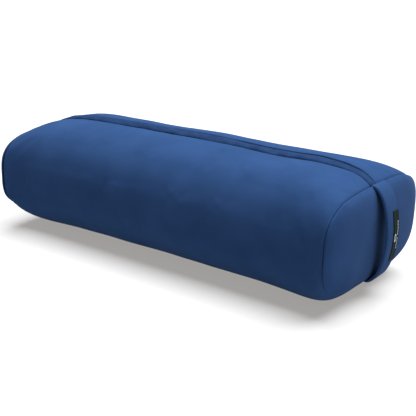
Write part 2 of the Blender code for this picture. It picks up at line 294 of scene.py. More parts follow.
# ---------------------------------------------------------------- finishes
@dataclass(frozen=True)
class Microfibre:
    """Brushed polyester microfibre: a dense short nap, so it looks soft and even with a pale bloom
    at grazing angles and faint cloudy patches where the nap lies another way."""

    name: str
    colour: str = "#263e65"
    shade: str = "#20375b"
    bloom: str = "#7d95bb"
    glint: str = "#86abe2"
    sheen: float = 0.13
    roughness: float = 0.62
    ior: float = 1.02            # fibre tips in air, which reflect far less than solid polyester
    cloud: float = 55 * MM       # size of the patches in the nap
    nap: float = 1.1 * MM        # tufts, drawn coarser than the real 0.1 mm so that they show
    twill: float = 0.9 * MM      # weave under the nap, drawn coarser than the real 0.3 mm

    def make(self) -> Material:
        """Builds the material."""
        made, tree, shader = begin(self.name, {
            "Roughness": self.roughness, "IOR": self.ior, "Specular Tint": linear(self.glint),
            "Sheen Weight": self.sheen, "Sheen Roughness": 0.45, "Sheen Tint": linear(self.bloom)})
        where = add(tree, "TexCoord")
        place = {"Vector": where.outputs["Object"]}
        patches = add(tree, "TexNoise",
                      {"Scale": 1 / self.cloud, "Detail": 3.0, "Roughness": 0.55}, place)
        tufts = add(tree, "TexNoise",
                    {"Scale": 1 / self.nap, "Detail": 2.0, "Roughness": 0.6}, place)
        mixed = add(tree, "Math", {"operation": "MULTIPLY_ADD", 1: 0.35},
                    {0: tufts.outputs["Fac"], 2: patches.outputs["Fac"]})
        spread = add(tree, "MapRange", {"From Min": 0.45, "From Max": 0.9},
                     {"Value": mixed.outputs[0]})
        cloth = add(tree, "Mix", {"data_type": "RGBA", 6: linear(self.shade),
                                  7: linear(self.colour)}, {0: spread.outputs[0]})
        tree.links.new(cloth.outputs[2], shader.inputs["Base Color"])
        weave = add(tree, "TexWave", {"bands_direction": "DIAGONAL", "Distortion": 0.6,
                                      "Scale": math.pi / 10 / self.twill / 2},
                    {"Vector": where.outputs["UV"]})
        ridges = add(tree, "Bump", {"Strength": 0.25, "Distance": 0.05 * MM},
                     {"Height": weave.outputs["Fac"]})
        hairs = add(tree, "Bump", {"Strength": 0.35, "Distance": 0.12 * MM},
                    {"Height": tufts.outputs["Fac"], "Normal": ridges.outputs[0]})
        tree.links.new(hairs.outputs[0], shader.inputs["Normal"])
        return made


@dataclass(frozen=True)
class PlainCloth:
    """A plain woven or matted textile, such as lining cotton, wadding or zip tape: matt, with its
    threads or fibres as a fine even grain."""

    name: str
    colour: str
    shade: str
    grain: float
    roughness: float = 0.85
    relief: float = 0.1 * MM

    def make(self) -> Material:
        """Builds the material."""
        made, tree, shader = begin(self.name, {
            "Roughness": self.roughness, "IOR": 1.2, "Specular IOR Level": 0.2})
        place = {"Vector": add(tree, "TexCoord").outputs["Object"]}
        threads = add(tree, "TexVoronoi", {"Scale": 1 / self.grain, "Randomness": 0.35}, place)
        fibres = add(tree, "TexNoise", {"Scale": 0.25 / self.grain, "Detail": 3.0}, place)
        tone = add(tree, "Math", {"operation": "MULTIPLY_ADD", 1: 0.5},
                   {0: threads.outputs["Distance"], 2: fibres.outputs["Fac"]})
        cloth = add(tree, "Mix", {"data_type": "RGBA", 6: linear(self.shade),
                                  7: linear(self.colour)}, {0: tone.outputs[0]})
        tree.links.new(cloth.outputs[2], shader.inputs["Base Color"])
        relief = add(tree, "Bump", {"Strength": 0.6, "Distance": self.relief},
                     {"Height": threads.outputs["Distance"]})
        tree.links.new(relief.outputs[0], shader.inputs["Normal"])
        return made


@dataclass(frozen=True)
class Plated:
    """Die-cast zinc or drawn wire with a dark nickel plate: it mirrors broadly, dulled by fine
    handling scratches."""

    name: str
    colour: str = "#6d6f73"
    roughness: float = 0.32
    scuff: float = 0.6 * MM      # size of the dulled patches

    def make(self) -> Material:
        """Builds the material."""
        made, tree, shader = begin(self.name, {"Metallic": 1.0, "Base Color": linear(self.colour)})
        place = {"Vector": add(tree, "TexCoord").outputs["Object"]}
        scuffs = add(tree, "TexNoise", {"Scale": 1 / self.scuff, "Detail": 4.0}, place)
        dull = add(tree, "MapRange",
                   {"To Min": self.roughness - 0.08, "To Max": self.roughness + 0.1},
                   {"Value": scuffs.outputs["Fac"]})
        tree.links.new(dull.outputs[0], shader.inputs["Roughness"])
        relief = add(tree, "Bump", {"Strength": 0.15, "Distance": 0.02 * MM},
                     {"Height": scuffs.outputs["Fac"]})
        tree.links.new(relief.outputs[0], shader.inputs["Normal"])
        return made


@dataclass(frozen=True)
class Nylon:
    """Extruded nylon monofilament: smooth, slightly waxy and a little see-through at its edges."""

    name: str
    colour: str
    streak: float = 2.5 * MM     # length over which its tone changes

    def make(self) -> Material:
        """Builds the material."""
        made, tree, shader = begin(self.name, {"Roughness": 0.35})
        place = {"Vector": add(tree, "TexCoord").outputs["Object"]}
        drawn = add(tree, "TexNoise", {"Scale": 1 / self.streak, "Detail": 1.0}, place)
        tone = add(tree, "HueSaturation", {"Color": linear(self.colour)})
        lighter = add(tree, "MapRange", {"To Min": 0.8, "To Max": 1.2},
                      {"Value": drawn.outputs["Fac"]})
        tree.links.new(lighter.outputs[0], tone.inputs["Value"])
        tree.links.new(tone.outputs[0], shader.inputs["Base Color"])
        return made


# ---------------------------------------------------------------- the filled shape
@dataclass(frozen=True)
class Form:
    """The outer shape of the filled bolster, which every piece of the cover follows."""

    half: float = 317.5 * MM
    end_width: float = 296 * MM
    end_height: float = 141 * MM
    end_lift: float = 27 * MM
    body_width: float = 270 * MM
    body_height: float = 190 * MM
    flattening: float = 3.3 * MM
    end_bulge: float = 14.5 * MM
    end_squareness: float = 3.3
    body_squareness: float = 2.4
    dense: int = 1440            # points on the fine outline that the rows are spaced along
    corner: float = 1.9 * MM     # how far the filling pushes out the front end's near top corner
    corner_place: float = -101 * MM
    soft: float = 0.8 * MM       # rounding where the underside leaves the floor
    crest: Stops = (
        (-0.317, 0.0), (-0.27, -0.0008), (-0.2, 0.0004), (-0.1, 0.0013), (0.0, 0.0018),
        (0.07, 0.0008), (0.16, -0.0014), (0.24, 0.0008), (0.295, 0.0014), (0.317, 0.0))
    far_crest: Stops = (
        (-0.12, 0.0), (-0.04, 0.0018), (0.02, 0.0025), (0.065, 0.0012), (0.12, 0.0))

    @property
    def middle(self) -> float:
        """Height of the middle of the end panels."""
        return self.end_lift + self.end_height / 2

    @staticmethod
    def turn(share: float, power: float, rounding: float = 1.0) -> float:
        """One at mid-length, falling to nothing at the ends."""
        return max(0.0, 1.0 - min(1.0, abs(share)) ** power) ** rounding

    def outline(self, x: float) -> np.ndarray:
        """A section from its crest, over the +Y side, underneath and back to the crest.

        Args:
            x: where along the bolster.

        Returns:
            Y and Z of each fine point.
        """
        share = x / self.half
        wide, high = self.turn(share, 14.8), self.turn(share, 10.0, 0.8)
        half_width = (self.end_width + (self.body_width - self.end_width) * wide) / 2
        end_top = self.end_lift + self.end_height
        top = end_top + (self.body_height - end_top) * high
        bottom = self.end_lift - (self.end_lift + self.flattening) * self.turn(share, 18.6)
        square = (self.end_squareness
                  + (self.body_squareness - self.end_squareness) * self.turn(share, 4))
        angles = np.radians(90 - np.linspace(0, 360, self.dense + 1))
        cosines, sines = np.cos(angles), np.sin(angles)
        cosines[[0, -1]] = 0.0
        y = half_width * np.sign(cosines) * np.abs(cosines) ** (2 / square)
        z = (top + bottom) / 2 + (top - bottom) / 2 * np.sign(sines) * np.abs(sines) ** (2 / square)
        late = self.dense * 3 // 4
        at = late + int(np.searchsorted(y[late:], self.corner_place))
        away = np.hypot(y - y[at], z - z[at])
        push = self.corner * math.exp(-(self.half - x) / (9 * MM)) * np.exp(-away / (13 * MM))
        y, z = y - 0.75 * push, z + 0.65 * push
        z = (z + np.sqrt(z * z + self.soft ** 2)) / 2
        return np.stack([y, z], axis=1)

    @staticmethod
    def lengths(outline: np.ndarray) -> np.ndarray:
        """Distance along an outline to each of its points."""
        steps = np.linalg.norm(np.diff(outline, axis=0), axis=1)
        return np.concatenate([[0.0], np.cumsum(steps)])

    def crest_lift(self, x: float, y: float) -> float:
        """How far the filling happens to lift the crest on either side of the zip."""
        return (eased(x, self.crest) * math.exp(-((y + 0.018) / 0.03) ** 2)
                + eased(x, self.far_crest) * math.exp(-((y - 0.055) / 0.04) ** 2))

    def height(self, x: float, y: float) -> float:
        """Height of the crest's surface at a place near the zip."""
        outline = self.outline(x)
        quarter = self.dense // 4
        upper = np.concatenate([outline[-quarter - 1:-1], outline[:quarter + 1]])
        return float(np.interp(y, upper[:, 0], upper[:, 1])) + self.crest_lift(x, y)


def eased(place: float, stops: Stops) -> float:
    """A value that passes smoothly through a few chosen ones.

    Args:
        place: where it is wanted.
        stops: places in rising order, each with its value.

    Returns:
        The value there.
    """
    if place <= stops[0][0]:
        return stops[0][1]
    for (low, start), (high, finish) in zip(stops, stops[1:]):
        if place <= high:
            share = (place - low) / (high - low)
            return start + (finish - start) * share * share * (3 - 2 * share)
    return stops[-1][1]


def spaced(line: np.ndarray, lengths: np.ndarray, spots: np.ndarray | float) -> np.ndarray:
    """Points at chosen distances along a line, whose own points lie at the given lengths."""
    return np.stack([np.interp(spots, lengths, values) for values in line.T], axis=-1)


def outward(points: np.ndarray) -> np.ndarray:
    """Unit normals of a grid of points, to the side that the grid operator's faces show."""
    along, across = np.gradient(points, axis=0), np.gradient(points, axis=1)
    normals = np.cross(along, across)
    return normals / np.maximum(np.linalg.norm(normals, axis=2, keepdims=True), 1e-12)


@dataclass
class Stitching:
    """A row of lock stitches, each a short bead of thread lying in the cloth."""

    pitch: float = 3.0 * MM
    length: float = 2.2 * MM
    radius: float = 0.22 * MM
    aim: float = 0.4 * MM        # how far to each side its direction is taken from

    def lay(self, bm: BMesh, line: np.ndarray, normals: np.ndarray) -> None:
        """Adds the stitches along a line.

        Args:
            bm: the mesh to add them to.
            line: points along the row.
            normals: which way is out of the cloth at each of them.
        """
        lengths = Form.lengths(line)
        count = int(lengths[-1] / self.pitch)
        for k in range(count):
            at = (k + 0.5) * lengths[-1] / count
            here, ahead = (spaced(line, lengths, at + step) for step in (-self.aim, self.aim))
            run = Vector(ahead - here).normalized()
            up = Vector(spaced(normals, lengths, at))
            side = up.cross(run).normalized()
            up = run.cross(side)
            turn = Matrix((run, side, up)).transposed().to_4x4()
            size = Matrix.Diagonal((self.length / 2, self.radius, self.radius * 0.8, 1))
            place = Matrix.Translation(Vector((here + ahead) / 2))
            bmesh.ops.create_uvsphere(bm, u_segments=6, v_segments=4, radius=1.0,
                                      matrix=place @ turn @ size)

    def sew(self, name: str, rows: Sequence[tuple[np.ndarray, np.ndarray]],
            thread: Material, slot: str = "cover_fabric") -> Object:
        """Makes one piece of a few rows of stitches.

        Args:
            name: the piece's name.
            rows: points along each row, and which way is out of the cloth at each of them.
            thread: its material.
            slot: its material slot; not used.

        Returns:
            The piece, riding on the bolster.
        """
        bm = bmesh.new()
        for line, normals in rows:
            self.lay(bm, line, normals)
        return settle(piece(name, bm, thread), "bolster", slot)


# ---------------------------------------------------------------- the cover
@dataclass
class Wrap:
    """The panel that runs from the zip round underneath and back to the zip."""

    form: Form
    finish: Material
    thread: Material
    near_edge: float = -12 * MM
    lap_seam: float = -18 * MM
    closed: float = 309 * MM     # past the zip's ends its two edges meet
    thickness: float = 1.2 * MM
    spacing: float = 3.8 * MM
    girth: float = 0.76          # about how far it is round it between the two closer-set edges
    seam_gap: float = 0.15 * MM
    roll: float = 3.0 * MM       # radius that each end turns down into its seam
    groove: float = 0.34 * MM    # depth of the seam that holds the lap
    puff: Stops = (    # how far it stands up behind the zip
        (-0.317, 0.0), (-0.26, 0.0024), (-0.2, 0.0040), (-0.09, 0.0052), (0.02, 0.0058),
        (0.11, 0.0052), (0.16, 0.0050), (0.23, 0.0058), (0.262, 0.0050), (0.286, 0.0034),
        (0.317, 0.0008))
    swell: float = 0.9 * MM      # slow unevenness of the filling
    pucker: float = 0.35 * MM    # gathers along the end seams
    ironed: float = 12 * MM      # height up to which the weight irons out the underside
    hem_dent: float = 0.25 * MM  # depth that the hem's stitches draw it down
    lap_tug: float = 0.22 * MM   # small pulls along the seam that holds the lap
    limit: float = 1.0 * MM      # how far the simulation may move it
    held: float = 4 * MM         # how near its ends and the crest's top it is held still
    held_low: float = 6 * MM     # and up to what height above the floor
    edge_steps: Sequence[float] = (0, 0.3, 0.6, 1.0, 1.4, 1.9, 2.6, 3.6, 5.0, 7.0, 9.6)
    hem_steps: Sequence[float] = (0, 0.4, 0.9, 1.6, 2.6, 3.6, 4.2, 4.8, 5.4, 6.2, 7.6, 9.6)
    hem_row: int = 7             # the step that the hem's stitches follow

    def places(self) -> np.ndarray:
        """Stations along the bolster, close together at its ends."""
        reach = self.form.half - self.seam_gap
        near = [step * MM for step in self.edge_steps]
        count = round(2 * (reach - near[-1]) / self.spacing)
        middle = np.linspace(-reach + near[-1], reach - near[-1], count + 1)
        ends = np.array(near[:-1])
        return np.concatenate([-reach + ends, middle, (reach - ends)[::-1]])

    def rows(self, x: float) -> tuple[np.ndarray, np.ndarray]:
        """Spaces points round one section, close together at the hem and at the lap's seam.

        Args:
            x: where along the bolster.

        Returns:
            The points, and their distances from the far hem.
        """
        outline = self.form.outline(x)
        lengths = self.form.lengths(outline)
        late = self.form.dense * 3 // 4
        edge = eased(abs(x), ((self.closed - 2 * MM, self.near_edge), (self.closed, -0.6 * MM)))
        end = float(np.interp(edge, outline[late:, 0], lengths[late:]))
        seam = float(np.interp(self.lap_seam, outline[late:, 0], lengths[late:]))
        hem = np.array(self.hem_steps) * MM
        fold = np.array([-6.0, -4.2, -3.0, -2.2, -1.6, -1.1, -0.7, -0.35, 0,
                         0.35, 0.7, 1.1, 1.6, 2.4, 3.6]) * MM
        count = round(self.girth / self.spacing)
        middle = np.linspace(hem[-1], seam + fold[0], count + 1)[1:-1]
        spots = np.concatenate([hem, middle, seam + fold, [end]])
        return spaced(outline, lengths, spots), spots

    def relief(self, x: float, y: float, z: float, around: float) -> float:
        """How far the cloth stands out of the smooth form.

        Args:
            x: place along the bolster.
            y: place across it.
            z: its height.
            around: distance round the section from the far hem.

        Returns:
            Metres outwards, or inwards where it is less than nothing.
        """
        form = self.form
        inset = form.half - self.seam_gap - abs(x)
        seat = min(1.0, z / self.ironed)
        fade = min(1.0, inset / (25 * MM))
        slow = noise.noise(Vector((x / 0.11, y / 0.07, z / 0.06))) \
            + 0.5 * noise.noise(Vector((x / 0.045, y / 0.05 + 5, z / 0.03)))
        out = self.swell * slow * fade * seat
        gathers = ripple(around, 15 * MM, 2.0 + math.copysign(1, x)) * math.exp(-inset / (11 * MM))
        out += self.pucker * gathers * min(1.0, inset / (3 * MM)) * max(seat, 0.3)
        if inset < self.roll:
            out -= self.roll - math.sqrt(self.roll ** 2 - (self.roll - inset) ** 2)
        if z > form.middle:
            if y > -1 * MM:
                lift = eased(y, ((0.0, -0.1), (0.0012, 1.0), (0.007, 1.0), (0.036, 0.0)))
                out += lift * eased(x, self.puff)
                dent = (y - self.hem_steps[self.hem_row] * MM) / (0.8 * MM)
                out -= self.hem_dent * math.exp(-dent * dent)
            out += form.crest_lift(x, y)
            across = (y - self.lap_seam) / (0.9 * MM)
            out -= self.groove * math.exp(-across * across)
            tug = math.exp(-max(0.0, self.lap_seam - y) / (7 * MM)) if y < self.lap_seam else 0.0
            out += self.lap_tug * ripple(x, 17 * MM, 9.0) * tug * fade
        return out

    def build(self) -> Object:
        """Makes the panel, and sews its far hem down."""
        points, flat = [], []
        for x in self.places():
            ring, spots = self.rows(float(x))
            points.append(np.column_stack([np.full(len(ring), x), ring]))
            flat.append(np.column_stack([np.full(len(ring), x), spots]))
        points, flat = np.array(points), np.array(flat)
        normals = outward(points)
        shifts = [[self.relief(*spot, around[1]) for spot, around in zip(row, cut)]
                  for row, cut in zip(points.tolist(), flat.tolist())]
        normals[..., 0] = 0.0        # each end rolls straight down into its seam
        normals /= np.linalg.norm(normals, axis=2, keepdims=True)
        points += normals * np.array(shifts)[..., None]
        points[..., 2] = np.maximum(points[..., 2], 0.0)
        hem = np.s_[len(self.edge_steps):-len(self.edge_steps), self.hem_row]
        Stitching().sew("hem_topstitch", [(points[hem], normals[hem])], self.thread)
        made = piece("cover_wrap", cloth_grid(points, flat), self.finish)
        edge = self.form.half - self.held
        crest = self.form.end_lift + self.form.end_height - self.held
        zip_middle, zip_reach = self.lap_seam / 2, 22 * MM
        inflate(made, lambda p: abs(p.x) > edge or p.z < self.held_low
                or (abs(p.y - zip_middle) < zip_reach and p.z > crest), self.limit)
        thicken(made, self.thickness)
        return settle(made, "bolster", "cover_fabric", "body_panel")


@dataclass
class EndPanel:
    """A crowned end panel, turned in all round at its seam."""

    form: Form
    finish: Material
    seam_shade_finish: Material
    end: End
    thickness: float = 1.2 * MM
    seam_gap: float = 0.15 * MM
    sunk: float = 0.15 * MM      # depth of the painted-shade tube down in the seam
    ridge: float = 0.8 * MM      # the rolled edge beside the seam
    inset: float = 2.6 * MM      # how far it is drawn in where it turns down into the seam
    inset_reach: float = 1.1 * MM
    pucker: float = 0.3 * MM     # gathers beside the seam
    swell: float = 0.6 * MM      # slow unevenness of the filling
    around: int = 264
    steps: int = 34
    bead: float = 1.05 * MM      # radius of the painted-shade tube seen in the seam

    def painted_seam_shade_line(self, rim: np.ndarray) -> Object:
        """Makes a thin near-black tube down in the seam: painted shade, standing for the shadow in
        the seam's groove.

        Args:
            rim: Y and Z round the seam.

        Returns:
            The tube of painted shade.
        """
        middle = np.array([0.0, self.form.middle])
        ahead = np.roll(rim[:-1], -1, axis=0) - np.roll(rim[:-1], 1, axis=0)
        out = np.stack([-ahead[:, 1], ahead[:, 0]], axis=1)
        out /= np.linalg.norm(out, axis=1, keepdims=True)
        out[np.einsum("ij,ij->i", out, rim[:-1] - middle) < 0] *= -1
        base = rim[:-1] - out * (self.bead + self.sunk)
        rings = []
        for angle in np.linspace(0, math.tau, 9):
            ring = base + out * self.bead * math.cos(angle)
            x = self.end.value * (self.form.half + self.seam_gap + self.bead * math.sin(angle))
            rings.append(np.column_stack([np.full(len(ring), x), ring]))
        points = np.stack(rings, axis=1)
        points = np.concatenate([points, points[:1]])
        points[:, -1] = points[:, 0]
        made = tube(f"end_seam_{self.end.name.lower()}", points, points[..., :2], self.seam_shade_finish)
        return settle(made, "bolster", "cover_fabric")

    def build(self) -> Object:
        """Makes the panel."""
        form, side = self.form, self.end.value
        outline = form.outline(side * form.half)
        lengths = form.lengths(outline)
        spots = np.linspace(0, lengths[-1], self.around + 1)
        rim = spaced(outline, lengths, spots)
        turns = [t * t * 0.25 + t * 0.75 for t in np.linspace(0, 1, self.steps - 9)]
        turns = [0.0, 0.01, 0.02, 0.03, 0.04, 0.052, 0.066, 0.083, 0.105, 0.13,
                 *[0.16 + 0.84 * t for t in turns]]
        points = []
        for turn in turns:
            scale = math.cos(math.pi / 2 * min(turn, 1.0))
            proud = form.end_bulge * math.sqrt(max(0.0, 1 - scale ** 3))
            ring = []
            for k, (y, z) in enumerate(rim):
                radius = math.hypot(y, z - form.middle)
                shift = self.ridge * (math.exp(-((proud - 2.2 * MM) / (0.9 * MM)) ** 2)
                                      - 0.5 * math.exp(-((proud - 4.4 * MM) / (1.3 * MM)) ** 2))
                shift -= self.inset * math.exp(-proud / self.inset_reach)
                shift += self.pucker * ripple(spots[k % self.around], 14 * MM, 4.0 + side) \
                    * math.exp(-abs(proud - 3.5 * MM) / (2.5 * MM))
                stretch = scale + shift / radius * scale
                spot = Vector((side * 3.0, y * scale / 0.05, z * scale / 0.05))
                soft = self.swell * noise.noise(spot)
                x = form.half + self.seam_gap + proud + soft * (1 - scale ** 2)
                ring.append((side * x, y * stretch, form.middle + (z - form.middle) * stretch))
            points.append(ring)
        places = np.array(points)
        cut = places[..., 1:].copy()
        places[:, -1] = places[:, 0]
        places[-1, :] = places[-1, :].mean(axis=0)
        bm = cloth_grid(places, cut, merge=True)
        bmesh.ops.recalc_face_normals(bm, faces=bm.faces)
        bm.faces.ensure_lookup_table()
        if bm.faces[0].normal.x * side < 0 and bm.faces[len(bm.faces) // 2].normal.x * side < 0:
            bmesh.ops.reverse_faces(bm, faces=bm.faces)
        self.painted_seam_shade_line(rim)
        name = self.end.name.lower()
        made = piece(f"end_cover_{name}", bm, self.finish)
        thicken(made, self.thickness)
        return settle(made, "bolster", "cover_fabric", f"end_panel_{name}")


@dataclass
class Lap:
    """The folded strip that is sewn into the near seam and lies over the zip."""

    form: Form
    finish: Material
    thread: Material
    sewn: float = -18 * MM
    stitch_line: float = 0.14    # share of its width
    drawn: float = 0.22          # share of its width left when it is drawn back off the zip; not used
    width: float = 18 * MM
    end_width: float = 14 * MM
    thickness: float = 1.4 * MM
    taper: float = 30 * MM
    seat: float = 0.3 * MM       # clearance over the crest
    crease: float = 0.8 * MM     # slanting wrinkles between its seam and its fold
    stitch_dent: float = 0.3 * MM
    wander: float = 0.5 * MM     # unevenness of its free edge
    rise: Stops = (
        (-0.317, 0.0), (-0.28, 0.0020), (-0.23, 0.0034), (-0.135, 0.0042), (0.0, 0.0040),
        (0.06, 0.0042), (0.12, 0.0026), (0.16, 0.0028), (0.22, 0.0026), (0.255, 0.0020),
        (0.285, 0.0004), (0.317, 0.0))     # how far its free edge stands off, as it happens to lie
    shy: Stops = (    # how far its free edge falls short of its width
        (-0.317, 0.0), (-0.25, 0.002), (-0.1, 0.0026), (0.06, 0.003), (0.27, 0.0026),
        (0.317, 0.0006))
    sink: Stops = (   # how far its seam draws it down
        (-0.05, 0.0012), (0.12, 0.0016))
    spacing: float = 2.2 * MM

    def middle(self, x: float, u: float) -> tuple[float, float]:
        """The strip's middle layer.

        Args:
            x: place along the bolster.
            u: share of its width, from the sewn side.

        Returns:
            Y and Z.
        """
        near_end = math.sin(math.pi / 2 * min(1.0, (self.form.half - abs(x)) / self.taper))
        width = self.end_width + (self.width - self.end_width) * near_end
        width += self.wander * ripple(x, 60 * MM, 1.0) * near_end - eased(x, self.shy)
        rise = eased(x, self.rise) * (1 + 0.12 * ripple(x, 45 * MM, 5.0))
        y = self.sewn + width * u
        lift = self.seat + self.thickness / 2 + rise * math.sin(math.pi / 2 * u) ** 1.1
        wrinkle = self.crease * ripple(x + 0.6 * y, 20 * MM, 3.0) * math.sin(math.pi * u) ** 0.7
        wrinkle -= self.stitch_dent * math.exp(-((u - self.stitch_line) * width / (0.7 * MM)) ** 2)
        sink = eased(x, self.sink) * math.exp(-(u * width / (1.2 * MM)) ** 2)
        return y, self.form.height(x, y) + lift + wrinkle * near_end - sink

    def build(self) -> Object:
        """Makes the strip as a flattened tube, closed along its fold."""
        reach = self.form.half - 0.3 * MM
        stations = np.linspace(-reach, reach, round(2 * reach / self.spacing))
        top = np.concatenate([[0, 0.03, 0.07, 0.11, 0.14, 0.17], np.linspace(0.22, 0.92, 11)])
        half = self.thickness / 2
        points, flat = [], []
        for x in stations:
            upper = [self.middle(x, u) for u in top]
            bead = half * 1.15
            fold_y, fold_z = self.middle(x, 1.0)
            tip = [(fold_y - bead + bead * math.sin(a), fold_z + bead * math.cos(a))
                   for a in np.radians([15, 45, 75, 105, 135, 165])]
            ring = [(y, z + half) for y, z in upper] + tip + \
                [(y, z - half) for y, z in reversed(upper)]
            ring.append(ring[0])
            points.append([(x, y, z) for y, z in ring])
            flat.append([(x, s) for s in self.form.lengths(np.array(ring))])
        made = tube("zip_lap_fold", points, flat, self.finish)
        settle(made, "bolster", "cover_fabric", "zip_lap")
        line = [(x, *self.middle(x, self.stitch_line)) for x in stations[4:-4]]
        line = np.array(line) + [0, 0, half]
        out = np.tile([0.0, -0.25, 1.0], (len(line), 1))
        for part in (made, Stitching().sew("lap_topstitch", [(line, out)], self.thread)):
            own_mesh(part)
        return made


@dataclass
class Strap:
    """A strap handle, folded from the cover fabric and sewn into the top and bottom end seams."""

    form: Form
    finish: Material
    thread: Material
    end: End
    width: float = 38 * MM
    thickness: float = 3.5 * MM
    bow: float = 30 * MM
    sag: float = 0.12            # how much squarer its lower half hangs
    gap: float = 0.3 * MM
    stations: int = 84
    stitch_inset: float = 3.2 * MM
    stitch_dent: float = 0.3 * MM
    crown: float = 0.25 * MM     # how much fuller it is along its middle
    wave: float = 0.4 * MM       # slow unevenness along it
    tuck: float = 1.3 * MM       # how far its two ends are drawn into their seams

    def path(self, offset: float, count: int) -> np.ndarray:
        """The strap's route from its top seam to its bottom one.

        Args:
            offset: distance out from its middle layer.
            count: number of steps.

        Returns:
            X (for the front end) and Z of each point.
        """
        fine, points = 400, []
        half_height = self.form.end_height / 2 + self.thickness / 2 + self.gap
        for k in range(fine + 1):
            angle = math.pi * (0.5 - k / fine)
            power = 2.0 + (self.sag if angle < 0 else 0.0)
            out = max(0.0, math.cos(angle)) ** (2 / power)
            up = math.copysign(abs(math.sin(angle)) ** (2 / power), angle)
            x = self.form.half + self.gap + out * (self.bow + offset)
            points.append((x, self.form.middle + up * (half_height + offset)))
        line = np.array(points)
        lengths = self.form.lengths(line)
        return spaced(line, lengths, np.linspace(0, lengths[-1], count + 1))

    def build(self) -> Object:
        """Makes the strap."""
        side, half = self.end.value, self.thickness / 2
        line = self.path(0.0, self.stations)
        tangents = np.gradient(line, axis=0)
        tangents /= np.linalg.norm(tangents, axis=1, keepdims=True)
        normals = np.stack([-tangents[:, 1], tangents[:, 0]], axis=1)
        edge = self.width / 2
        inner = edge - self.stitch_inset
        across = [-edge + 1.6 * MM, -inner - 0.7 * MM, -inner, -inner + 0.7 * MM,
                  *np.linspace(-inner + 3 * MM, inner - 3 * MM, 9),
                  inner - 0.7 * MM, inner, inner + 0.7 * MM, edge - 1.6 * MM]
        lengths = self.form.lengths(line)
        points, flat, waves = [], [], []
        for (x, z), (nx, nz), run in zip(line, normals, lengths):
            ends = min(run, lengths[-1] - run)
            pinch = math.exp(-ends / (3 * MM))
            ring = []
            for sign, spread in ((1, across), (-1, across[::-1])):
                for y in spread:
                    dent = self.stitch_dent * math.exp(-((abs(y) - inner) / (0.6 * MM)) ** 2)
                    crown = self.crown * (1 - (y / edge) ** 2) - dent
                    ring.append((y, sign * (half * (1 - 0.45 * pinch) + crown)))
                ring += [(sign * (edge - 0.5 * MM + 0.4 * MM * math.cos(a)),
                          sign * (half - 0.25 * MM) * math.cos(a * 0.9))
                         for a in np.radians([30, 60, 90, 120, 150])]
            ring.append(ring[0])
            wave = self.wave * ripple(run, 40 * MM, 6.0 + side) * (1 - pinch)
            waves.append(wave)
            drop = self.tuck * pinch
            inward_z = -drop if z > self.form.middle else drop
            points.append([(side * (x + nx * (o + wave)), y, z + inward_z + nz * (o + wave))
                           for y, o in ring])
            flat.append([(run, s) for s in self.form.lengths(np.array(ring))])
        name = self.end.name.lower()
        made = tube(f"strap_{name}", points, flat, self.finish)
        outs = np.column_stack([side * normals[:, 0], np.zeros(len(line)), normals[:, 1]])
        top = line + normals * (half + 0.1 * MM + np.array(waves)[:, None])
        rows = [np.column_stack([side * top[:, 0], np.full(len(line), y), top[:, 1]])
                for y in (-inner, inner)]
        Stitching().sew(f"strap_topstitch_{name}", [(row[4:-4], outs[4:-4]) for row in rows],
                        self.thread)
        return settle(made, "bolster", "cover_fabric", f"handle_{name}")


